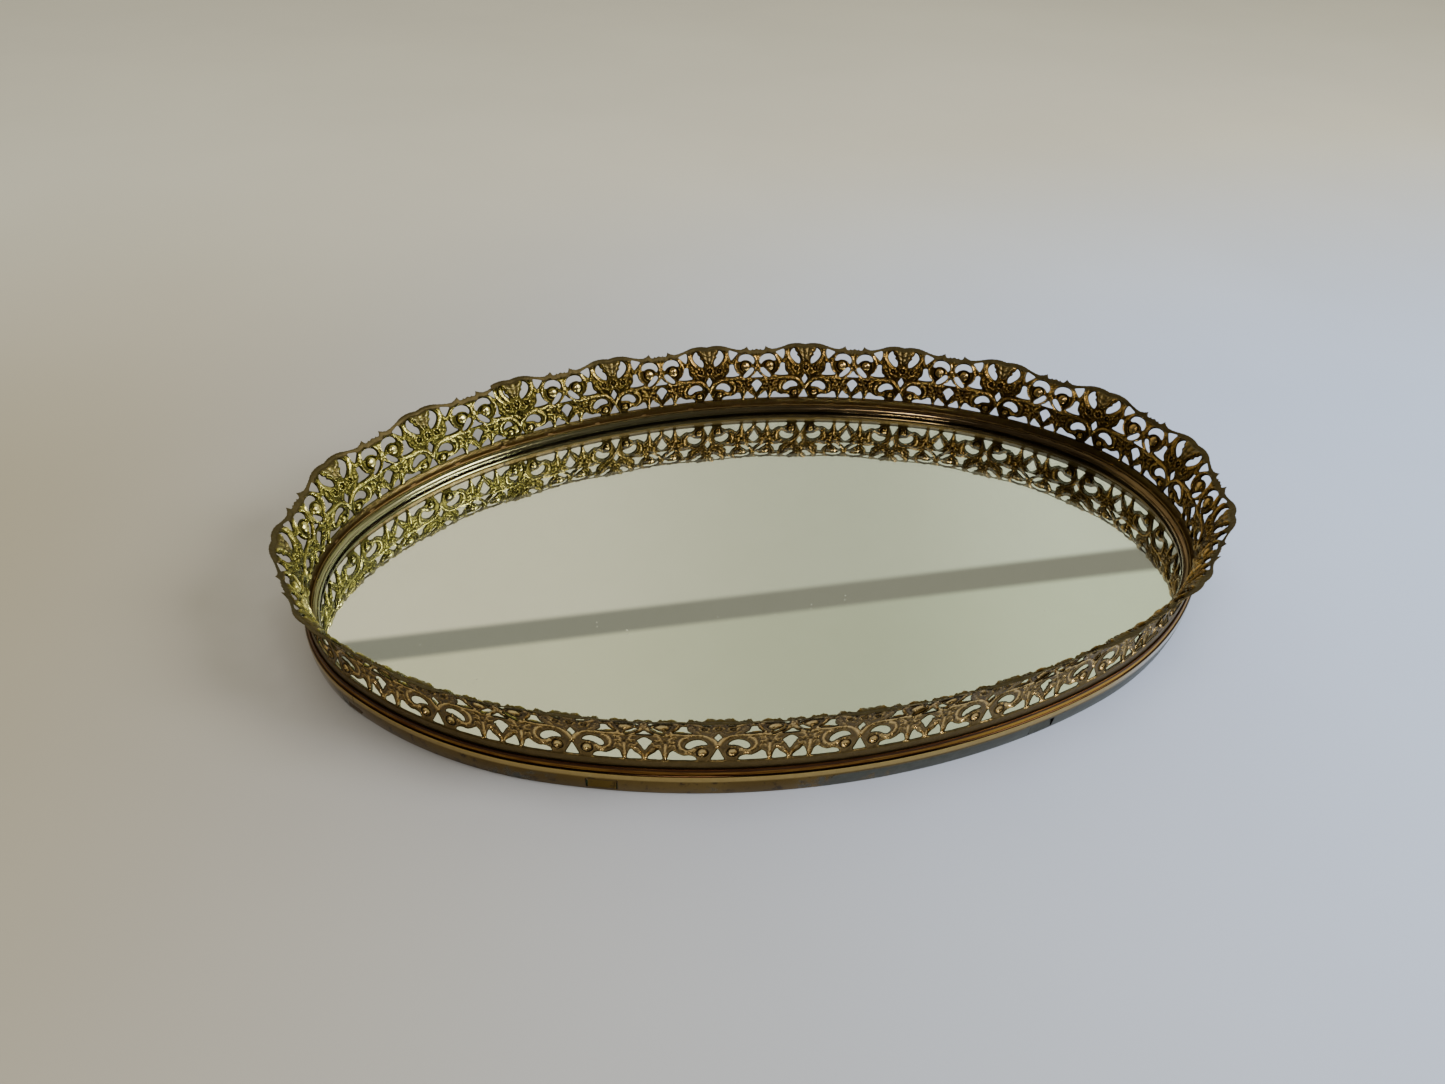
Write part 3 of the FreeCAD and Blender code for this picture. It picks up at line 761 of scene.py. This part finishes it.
def make_rim():
    """The section swept round the line, with the tabs' windows left open in the outer wall."""
    section, stretches = rim_section()
    stations, windows = rim_stations()
    rows, columns = len(section), len(stations)
    place, outward = on_gallery_line(stations)
    flat = place[:, None] + outward[:, None] * section[None, :, :1]
    points = np.concatenate([flat, np.broadcast_to(section[None, :, 1:], flat.shape[:2] + (1,))], -1)
    index = np.arange(rows * columns).reshape(columns, rows)
    following = np.roll(index, -1, 1)
    middles = (stations[:-1] + stations[1:]) / 2
    in_window = np.zeros(columns - 1, bool)
    for low, high in windows:
        in_window |= (middles > low) & (middles < high)

    hidden_wall = len(RIM_MOVES) - 1
    heights = section[:, 1]
    next_heights = np.roll(heights, -1)
    middle_height = (heights + next_heights) / 2
    opened = (stretches < 0.999) | (stretches >= hidden_wall)
    opened &= (middle_height > WINDOW_LOW) & (middle_height < WINDOW_HIGH)
    opened &= np.abs(heights - next_heights) > 0.1
    keep = ~(in_window[:, None] & opened[None, :])
    quads = np.stack([index[:-1], index[1:], following[1:], following[:-1]], -1)[keep]

    on_wall = (heights >= WINDOW_LOW) & (heights <= WINDOW_HIGH)
    outer = np.flatnonzero(on_wall & (stretches < 1))
    inner = np.flatnonzero(on_wall & (stretches > hidden_wall))[::-1]
    sides = []
    for low, high in windows:
        first = int(np.argmin(np.abs(stations - low)))
        last = int(np.argmin(np.abs(stations - high)))
        sides += window_sides(index, outer, inner, first, last)
    caps = [index[0].tolist(), index[-1][::-1].tolist()]
    faces = np.concatenate([quads, np.array(sides)]).tolist() + caps
    piece = mixed_mesh_object("rolled_rim", points.reshape(-1, 3), faces)
    smooth_shading(piece.data, 40)
    at_level = np.minimum(np.abs(heights - WINDOW_HIGH), np.abs(heights - WINDOW_LOW)) < CLOSE
    on_wall &= (stretches < 1) | (stretches > hidden_wall)
    dress_rim_piece(piece, np.repeat(stations, rows), np.tile(stretches, columns),
                    slit_values(stations, windows, on_wall, at_level).ravel())
    return piece


def dress_rim_piece(piece, along, across, slit):
    """Tie a piece of the rim to its body, hide the node that it stands in for, and give it the values that
    its material reads.
    """
    add_attribute(piece, "along", along)
    add_attribute(piece, "across", across)
    add_attribute(piece, "slit", slit)
    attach(piece, "root")
    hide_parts("rim")


def tab_outline():
    """The tab's outline as (across, up) points from its foot, with round top corners."""
    half = TAB_WIDTH / 2
    height = TAB_TIP - WINDOW_LOW
    quarter = [math.pi / 2 * step / TAB_CORNER_STEPS for step in range(TAB_CORNER_STEPS + 1)]
    left = [(-math.cos(angle), math.sin(angle)) for angle in quarter]
    right = [(math.sin(angle), math.cos(angle)) for angle in quarter]
    outline = [(-half, 0.0)]
    for side, corner in ((-1, left), (1, right)):
        for across, up in corner:
            outline.append((side * (half - TAB_CORNER) + TAB_CORNER * across,
                            height - TAB_CORNER + TAB_CORNER * up))
    return outline + [(half, 0.0)]


def make_tab(name, distance):
    """A lanced tab: a plate hinged at its foot and leaning in."""
    outline = tab_outline()
    place, outward = on_gallery_line(np.array([distance]))
    place, outward = place[0], outward[0]
    along = np.array([-outward[1], outward[0]])
    lean_out, lean_up = math.sin(TAB_LEAN), math.cos(TAB_LEAN)
    points = []
    for depth in (0.0, -TAB_SHEET):
        for across, up in outline:
            offset = TAB_FOOT_OFFSET + depth * lean_up - up * lean_out
            flat = place + outward * offset + along * across
            points.append((flat[0], flat[1], WINDOW_LOW + up * lean_up + depth * lean_out))
    count = len(outline)
    faces = [list(range(count))[::-1], list(range(count, 2 * count))]
    for start in range(count):
        end = (start + 1) % count
        faces.append([start, end, count + end, count + start])
    piece = mixed_mesh_object(name, points, faces)
    bevel = piece.modifiers.new("soft edge", "BEVEL")
    bevel.width = TAB_BEVEL * MM
    bevel.segments = 2
    # The tab is coloured as the middle of the wall, and its hidden face is painted dark as shade.
    dress_rim_piece(piece, np.full(2 * count, distance), np.full(2 * count, TAB_STRETCH),
                    np.repeat([0.0, 1.0], count))
    return piece


# ---- mirror glass

GLASS_EDGE = 0.6
GLASS_TOP = 9.4
GLASS_BOTTOM = 7.03            # a hair above the silvering, so that the two faces never coincide
ARRIS = 0.35
GLASS_STATIONS = 720


def make_glass():
    """Plate glass with its edge ground at 45 degrees top and bottom."""
    section = [(-ARRIS, GLASS_BOTTOM), (0, GLASS_BOTTOM + ARRIS),
               (0, GLASS_TOP - ARRIS), (-ARRIS, GLASS_TOP)]
    place, outward = on_gallery_line(np.arange(GLASS_STATIONS) * PERIMETER / GLASS_STATIONS)
    rings = []
    for inset, height in section:
        flat = place + outward * (GLASS_EDGE + inset)
        rings.append(np.concatenate([flat, np.full((GLASS_STATIONS, 1), height)], -1))
    here = np.arange(GLASS_STATIONS)
    following = np.roll(here, -1)
    faces = []
    for level in range(len(section) - 1):
        low, high = level * GLASS_STATIONS, (level + 1) * GLASS_STATIONS
        faces += np.stack([low + here, low + following, high + following, high + here], -1).tolist()
    faces.append(here[::-1].tolist())
    faces.append(((len(section) - 1) * GLASS_STATIONS + here).tolist())
    piece = mixed_mesh_object("mirror_plate", np.concatenate(rings), faces)
    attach(piece, "root")
    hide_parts("mirror_glass")
    return piece


# ---- materials

METALLIC = 0.95


def material_graph(name, metallic=0.0):
    """A new material with a principled shader, as (material, node tree, shader)."""
    material = bpy.data.materials.new(name)
    material.use_nodes = True
    tree = material.node_tree
    tree.nodes.clear()
    output = tree.nodes.new("ShaderNodeOutputMaterial")
    shader = tree.nodes.new("ShaderNodeBsdfPrincipled")
    shader.inputs["Metallic"].default_value = metallic
    tree.links.new(shader.outputs["BSDF"], output.inputs["Surface"])
    return material, tree, shader


def feed(value, socket):
    """Link a socket, or set a number or colour."""
    if isinstance(value, bpy.types.NodeSocket):
        socket.id_data.links.new(value, socket)
    elif isinstance(value, tuple) and len(value) == 3 and socket.type == "RGBA":
        socket.default_value = value + (1.0,)
    else:
        socket.default_value = value


def fed_node(tree, kind, inputs):
    """A new node with its inputs fed, by name or number."""
    node = tree.nodes.new("ShaderNode" + kind)
    for name, value in inputs.items():
        feed(value, node.inputs[name])
    return node


def position(tree):
    return tree.nodes.new("ShaderNodeTexCoord").outputs["Object"]


def attribute(tree, name):
    """A value that the mesh carries at its points."""
    node = tree.nodes.new("ShaderNodeAttribute")
    node.attribute_name = name
    return node.outputs["Fac"]


def noise(tree, scale, detail=4.0, roughness=0.55, vector=None, distortion=0.0):
    """Noise by place unless a vector is given; scale is in features per metre."""
    return fed_node(tree, "TexNoise", {"Scale": scale, "Detail": detail, "Roughness": roughness,
                                       "Distortion": distortion,
                                       "Vector": vector or position(tree)}).outputs["Fac"]


# Each function from here on works in the graph that its first value belongs to.

def math_node(operation, first, second):
    node = fed_node(first.id_data, "Math", {0: first, 1: second})
    node.operation = operation
    return node.outputs["Value"]


def add(first, second):
    return math_node("ADD", first, second)


def times(first, second):
    return math_node("MULTIPLY", first, second)


def spread(value, low, high, to_low=0.0, to_high=1.0):
    """Map a value smoothly from low..high to to_low..to_high, held at the ends."""
    node = fed_node(value.id_data, "MapRange", {"Value": value, "From Min": low, "From Max": high,
                                                "To Min": to_low, "To Max": to_high})
    node.interpolation_type = "SMOOTHSTEP"
    return node.outputs["Result"]


def band(value, low, high, soft=0.06):
    """1 between two numbers and 0 outside them."""
    return times(spread(value, low - soft, low + soft), spread(value, high - soft, high + soft, 1.0, 0.0))


def mix(factor, first, second):
    """The first colour where the factor is 0 and the second where it is 1."""
    node = factor.id_data.nodes.new("ShaderNodeMix")
    node.data_type = "RGBA"
    feed(factor, node.inputs["Factor"])
    feed(first, node.inputs[6])
    feed(second, node.inputs[7])
    return node.outputs[2]


def axis_of(vector, axis):
    return fed_node(vector.id_data, "SeparateXYZ", {0: vector}).outputs[axis]


def combine(x, y):
    return fed_node(x.id_data, "CombineXYZ", {0: x, 1: y}).outputs["Vector"]


def scaled(colour, factor):
    node = colour.id_data.nodes.new("ShaderNodeVectorMath")
    node.operation = "SCALE"
    feed(colour, node.inputs[0])
    feed(factor, node.inputs["Scale"])
    return node.outputs["Vector"]


def bump_from(shader, height, strength, distance):
    node = fed_node(height.id_data, "Bump", {"Strength": strength, "Distance": distance, "Height": height})
    feed(node.outputs["Normal"], shader.inputs["Normal"])


def coat(shader, colour, roughness):
    feed(colour, shader.inputs["Base Color"])
    feed(roughness, shader.inputs["Roughness"])


def filigree_material():
    """Aged gilt brass: worn bright on the raised parts, brown tarnish in the hollows, with a painted
    highlight on the raised parts, painted shade in the hollows, and painted light that fades from left to
    right.
    """
    material, tree, shader = material_graph("aged_filigree_brass_with_painted_light", METALLIC)
    relief = attribute(tree, "relief")
    rise = attribute(tree, "rise")
    dull = attribute(tree, "dull")
    cloud = noise(tree, 28.0, 3.0)
    mottle = noise(tree, 340.0, 5.0, 0.65)
    grain = noise(tree, 1100.0, 4.0, 0.6)
    along = axis_of(position(tree), "X")
    painted_light_x = add(along, times(cloud, 0.1))
    # Painted light: greenish yellow at the left, painted as lit, turns to a painted-shade brown at the
    # right.
    painted_light_rightward = spread(painted_light_x, -0.10, 0.04)
    inner = attribute(tree, "inner")
    inside = mix(painted_light_rightward, (0.102, 0.089, 0.017), (0.067, 0.039, 0.008))
    # The outer face and the inner face get different colours for how each is lit: painted light and shade.
    colour = mix(inner, (0.180, 0.122, 0.045), inside)
    # Painted shade darkens the hollows and a painted highlight brightens the raised parts, on top of the
    # real tarnish and wear.
    wear_and_painted_light = add(relief, times(mottle, 0.7))
    painted_shade_and_highlight = spread(wear_and_painted_light, 0.45, 1.0, 0.08, 1.0)
    painted_shade_and_highlight = add(painted_shade_and_highlight, spread(wear_and_painted_light, 1.0, 1.6, 0.0, 3.0))
    colour = scaled(colour, painted_shade_and_highlight)
    # The highest ridges have lost their lacquer, and are painted paler as a highlight.
    rubbed_and_painted_glint = spread(wear_and_painted_light, 1.2, 1.85, 0.0, 0.65)
    colour = mix(rubbed_and_painted_glint, colour, mix(painted_light_rightward, (0.68, 0.62, 0.29), (0.44, 0.31, 0.13)))
    selvage = spread(rise, 0.9, -0.3)
    colour = mix(selvage, colour, mix(mottle, (0.075, 0.050, 0.015), (0.165, 0.114, 0.042)))
    dulled = times(dull, spread(mottle, 0.3, 0.7, 0.95, 0.6))
    dull_colour = mix(inner, (0.078, 0.066, 0.034), (0.088, 0.066, 0.026))
    colour = mix(dulled, colour, dull_colour)
    coat(shader, colour, add(spread(wear_and_painted_light, 0.5, 1.5, 0.40, 0.14), times(dull, 0.14)))
    lumps = add(mottle, times(grain, 0.35))
    bump_from(shader, lumps, 0.55, 0.0006)
    return material


def rim_material():
    """Roll-formed brass: each band of its section has aged in its own way, and some bands carry a painted
    highlight or painted shade.
    """
    material, tree, shader = material_graph("aged_rim_brass_with_painted_light", METALLIC)
    across = attribute(tree, "across")
    along = attribute(tree, "along")
    cloud = noise(tree, 35.0, 5.0)
    blotch = noise(tree, 22.0, 7.0, 0.7)
    mottle = noise(tree, 260.0, 6.0, 0.7)
    # Streaks run along the rim, many times longer than they are wide.
    streak_place = combine(times(along, 0.035), times(across, 6.0))
    streaks = noise(tree, 1.6, 6.0, 0.65, vector=streak_place)

    painted_light_rightward = spread(axis_of(position(tree), "X"), -0.08, 0.08)
    wall = mix(spread(cloud, 0.3, 0.7), (0.118, 0.072, 0.014), (0.185, 0.118, 0.029))
    wall = mix(spread(mottle, 0.54, 0.66, 0.0, 0.85), wall, (0.028, 0.016, 0.006))
    # A grey tarnish lies on the lower wall, most of all at the front.
    at_front = band(along, 752.0, 935.0, 22.0)
    patch = add(blotch, times(at_front, 0.17))
    low_wall = spread(across, 0.88, 0.62)
    tarnish = times(spread(patch, 0.54, 0.62), low_wall)
    wall = mix(tarnish, wall, mix(mottle, (0.05, 0.05, 0.035), (0.13, 0.135, 0.11)))
    # Painted highlight: the wall's top band is paler than the wall below it.
    painted_wall_top_highlight = mix(mottle, (0.30, 0.20, 0.055), (0.50, 0.37, 0.14))
    # Painted highlight: towards the right end of the front, the wall's top is painted silvery and the cove
    # bright, as if lit.
    painted_highlight_fade = spread(along, 980.0, 1050.0, 1.0, 0.0)
    painted_silver_highlight = times(spread(along, 870.0, 940.0), painted_highlight_fade)
    painted_wall_top_highlight = mix(painted_silver_highlight, painted_wall_top_highlight, (0.60, 0.59, 0.54))
    cove = mix(spread(streaks, 0.42, 0.62), (0.085, 0.024, 0.005), (0.30, 0.165, 0.035))
    painted_lit_cove = times(spread(along, 790.0, 840.0, 0.0, 0.7), painted_highlight_fade)
    cove = mix(painted_lit_cove, cove, (0.50, 0.29, 0.05))
    lip = mix(spread(streaks, 0.45, 0.7), (0.030, 0.008, 0.002), (0.14, 0.064, 0.014))
    ledge = mix(streaks, (0.055, 0.027, 0.007), (0.16, 0.092, 0.028))
    ridge = mix(streaks, (0.10, 0.06, 0.020), (0.24, 0.165, 0.06))
    bead = mix(spread(streaks, 0.35, 0.7), (0.30, 0.29, 0.165), (0.11, 0.092, 0.032))
    # Painted shade: the bead on the mirror turns brown towards the right.
    painted_shade_bead = mix(spread(streaks, 0.4, 0.6), (0.07, 0.042, 0.016), (0.20, 0.14, 0.075))
    bead = mix(painted_light_rightward, bead, painted_shade_bead)
    hidden = mix(cloud, (0.20, 0.14, 0.06), (0.32, 0.23, 0.10))

    # The bands lie between places on the section, numbered as the moves that make it.
    colour = wall
    for low, high, band_colour in (
            (0.86, 1.6, painted_wall_top_highlight),
            (1.6, 2.95, (0.024, 0.010, 0.003)),
            (2.95, 3.55, cove),
            (3.55, 8.1, lip),
            (8.1, 9.0, ledge),
            (9.0, 10.05, ridge),
            (10.05, 11.2, bead),
            (11.2, 20.0, hidden)):
        colour = mix(band(across, low, high), colour, band_colour)
    # Painted shade: the windows' edges and the tabs' hidden faces turn near black.
    slit = attribute(tree, "slit")
    colour = mix(times(slit, 0.93), colour, (0.012, 0.007, 0.003))
    roughness = spread(streaks, 0.3, 0.8, 0.10, 0.20)
    roughness = add(roughness, times(band(across, 2.0, 9.9), 0.2))
    coat(shader, colour, add(roughness, times(tarnish, 0.30)))
    height = add(times(streaks, 0.8), times(mottle, 0.5))
    bump_from(shader, height, 0.10, 0.0002)
    return material


def glass_material():
    """Clear, faintly green plate glass with a few dull specks."""
    material, tree, shader = material_graph("clear_plate_glass")
    coat(shader, (0.93, 0.97, 0.94), spread(noise(tree, 420.0, 2.0), 0.74, 0.80, 0.0, 0.35))
    shader.inputs["Transmission Weight"].default_value = 1.0
    shader.inputs["IOR"].default_value = 1.5
    return material


def silvering_material():
    material, tree, shader = material_graph("mirror_silver", 1.0)
    coat(shader, mix(noise(tree, 60.0), (0.88, 0.87, 0.83), (0.93, 0.92, 0.89)), 0.015)
    return material


def fibre_material(name, dark, light, scale, strength):
    """Matt fibrous stuff such as felt and board."""
    material, tree, shader = material_graph(name)
    fine = noise(tree, scale, 8.0, 0.7, distortion=0.6)
    cloud = noise(tree, 22.0, 3.0)
    colour = mix(add(times(fine, 0.7), 0.5), dark, light)
    colour = mix(spread(cloud, 0.4, 0.7, 0.0, 0.25), colour, dark)
    coat(shader, colour, 0.95)
    bump_from(shader, fine, strength, 0.0004)
    return material


def solder_material():
    material, tree, shader = material_graph("soft_solder", 0.9)
    cloud = noise(tree, 500.0)
    coat(shader, mix(cloud, (0.055, 0.030, 0.010), (0.13, 0.08, 0.03)), 0.45)
    bump_from(shader, cloud, 0.3, 0.0003)
    return material


def floor_material():
    """Matt pale paint, warmer on the left and behind than on the right, with painted light: darker on the
    left, paler behind, and a bluish light painted on the right.
    """
    material, tree, shader = material_graph("pale_floor")
    cloud = noise(tree, 3.0, 4.0)
    place = position(tree)
    painted_light_rightward = spread(axis_of(place, "X"), -0.4, 0.4)
    colour = mix(painted_light_rightward, (0.335, 0.295, 0.212), (0.46, 0.56, 0.80))
    colour = mix(spread(axis_of(place, "Y"), 0.05, 0.6), colour, (0.59, 0.56, 0.47))
    coat(shader, scaled(colour, spread(cloud, 0.2, 0.8, 0.96, 1.04)), 0.75)
    return material


def paint(node, material):
    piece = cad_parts[node]
    piece.data.materials.clear()
    piece.data.materials.append(material)


# ---- stage

def make_floor():
    half = 4000.0
    level = -0.2                   # a hair below the base, so that the two faces never coincide
    corners = ((-half, -half), (half, -half), (half, half), (-half, half))
    points = np.array([(x, y, level) for x, y in corners])
    floor = mesh_object("floor", points, np.array([[0, 1, 2, 3]]), body=None)
    floor.data.materials.append(floor_material())


def make_light(name, place, size, power, colour):
    """A round lamp that faces the tray; place and size in metres, power in watts."""
    light = bpy.data.lights.new(name, "AREA")
    light.shape = "DISK"
    light.size = size
    light.energy = power
    light.color = colour
    lamp = bpy.data.objects.new(name, light)
    lamp.location = place
    lamp.rotation_euler = (-Vector(place)).to_track_quat("-Z", "Y").to_euler()
    bpy.context.scene.collection.objects.link(lamp)
    return lamp


GAP_RISE = math.radians(42.4)      # of the gap between the two screens, above level
GAP_HALF = 0.0105


def make_world():
    """Soft studio surroundings: two pale screens with a level gap between them behind, darker in front."""
    world = bpy.data.worlds.new("studio")
    world.use_nodes = True
    tree = world.node_tree
    tree.nodes.clear()
    output = tree.nodes.new("ShaderNodeOutputWorld")
    background = tree.nodes.new("ShaderNodeBackground")
    tree.links.new(background.outputs["Background"], output.inputs["Surface"])
    direction = tree.nodes.new("ShaderNodeTexCoord").outputs["Generated"]
    back = axis_of(direction, "Y")
    right = axis_of(direction, "X")
    above = axis_of(direction, "Z")
    # Zero at the gap between the screens, negative on the upper screen and positive on the lower one
    past_gap = math_node("SUBTRACT", times(back, math.sin(GAP_RISE)),
                         times(above, math.cos(GAP_RISE)))
    lower = mix(spread(right, -0.2, 0.55), (1.12, 1.00, 0.73), (0.95, 0.98, 0.73))
    upper = mix(spread(right, -0.2, 0.55), (0.97, 0.89, 0.60), (0.87, 0.92, 0.64))
    screens = mix(spread(past_gap, -0.004, 0.004), upper, lower)
    # The screens are lit unevenly: paler at both ends than in the middle.
    left_end = spread(right, 0.02, 0.27, 1.10, 0.91)
    screens = scaled(screens, add(left_end, spread(right, 0.30, 0.50, 0.0, 0.34)))
    screens = mix(band(past_gap, -GAP_HALF, GAP_HALF, 0.003), screens, (0.40, 0.38, 0.30))
    colour = mix(spread(back, -0.1, 0.45), (0.13, 0.12, 0.10), screens)
    colour = mix(spread(right, 0.66, 0.9), colour, (1.65, 1.68, 1.50))
    # The screens only light and reflect: behind the floor's edge there is a plain backdrop.
    seen = tree.nodes.new("ShaderNodeLightPath").outputs["Is Camera Ray"]
    colour = mix(seen, colour, (0.62, 0.62, 0.60))
    feed(colour, background.inputs["Color"])
    background.inputs["Strength"].default_value = 0.75
    bpy.context.scene.world = world


CAMERA_PLACE = (-0.11122, -0.36399, 0.31124)
CAMERA_YAW = 0.23989               # to the right of +Y, in radians
CAMERA_PITCH = 0.66328             # below level
CAMERA_ROLL = 0.04265
CAMERA_LENS = 26.87                # for a sensor 36 mm wide


def make_camera():
    camera = bpy.data.cameras.new("camera")
    camera.lens = CAMERA_LENS
    camera.sensor_width = 36.0
    camera.clip_start = 0.01
    camera.clip_end = 50.0
    yaw, pitch, roll = CAMERA_YAW, CAMERA_PITCH, CAMERA_ROLL
    forward = Vector((math.sin(yaw) * math.cos(pitch), math.cos(yaw) * math.cos(pitch), -math.sin(pitch)))
    level = Vector((math.cos(yaw), -math.sin(yaw), 0))
    above = level.cross(forward)
    right = math.cos(roll) * level + math.sin(roll) * above
    up = math.cos(roll) * above - math.sin(roll) * level
    holder = bpy.data.objects.new("camera", camera)
    rotation = Matrix((right, up, -forward)).transposed()
    holder.matrix_world = Matrix.Translation(CAMERA_PLACE) @ rotation.to_4x4()
    bpy.context.scene.collection.objects.link(holder)
    bpy.context.scene.camera = holder


# ---- scene

make_camera()
make_floor()
make_world()
make_light("key", (1.3, -0.7, 1.2), 0.8, 36.0, (1.0, 0.99, 0.95))
overhead = make_light("top", (-0.3, -0.2, 2.2), 1.5, 20.0, (0.97, 0.98, 1.0))
# Seen in the mirror from above, this lamp would be a bright disc.
overhead.visible_glossy = False
overhead.visible_transmission = False
make_light("front", (-0.30, -1.25, 1.05), 0.30, 7.0, (1.0, 0.95, 0.86))

gallery_finish = filigree_material()
for length in make_gallery():
    length.data.materials.append(gallery_finish)
rim_finish = rim_material()
make_rim().data.materials.append(rim_finish)
for index, place in enumerate(tab_places()):
    make_tab("rim_tab_%d" % (index + 1), place).data.materials.append(rim_finish)
make_glass().data.materials.append(glass_material())
paint("mirror_silvering", silvering_material())
for node, name, dark, light, scale, strength in (
        ("backing_card", "grey_backing_card", (0.24, 0.22, 0.19), (0.40, 0.37, 0.33), 900.0, 0.3),
        ("base_board", "kraft_board", (0.36, 0.24, 0.13), (0.55, 0.40, 0.24), 600.0, 0.4),
        ("felt_cover", "green_felt", (0.02, 0.06, 0.03), (0.07, 0.15, 0.08), 1400.0, 0.8)):
    paint(node, fibre_material(name, dark, light, scale, strength))
solder = solder_material()
paint("gallery_solder", solder)
paint("rim_seam_solder", solder)
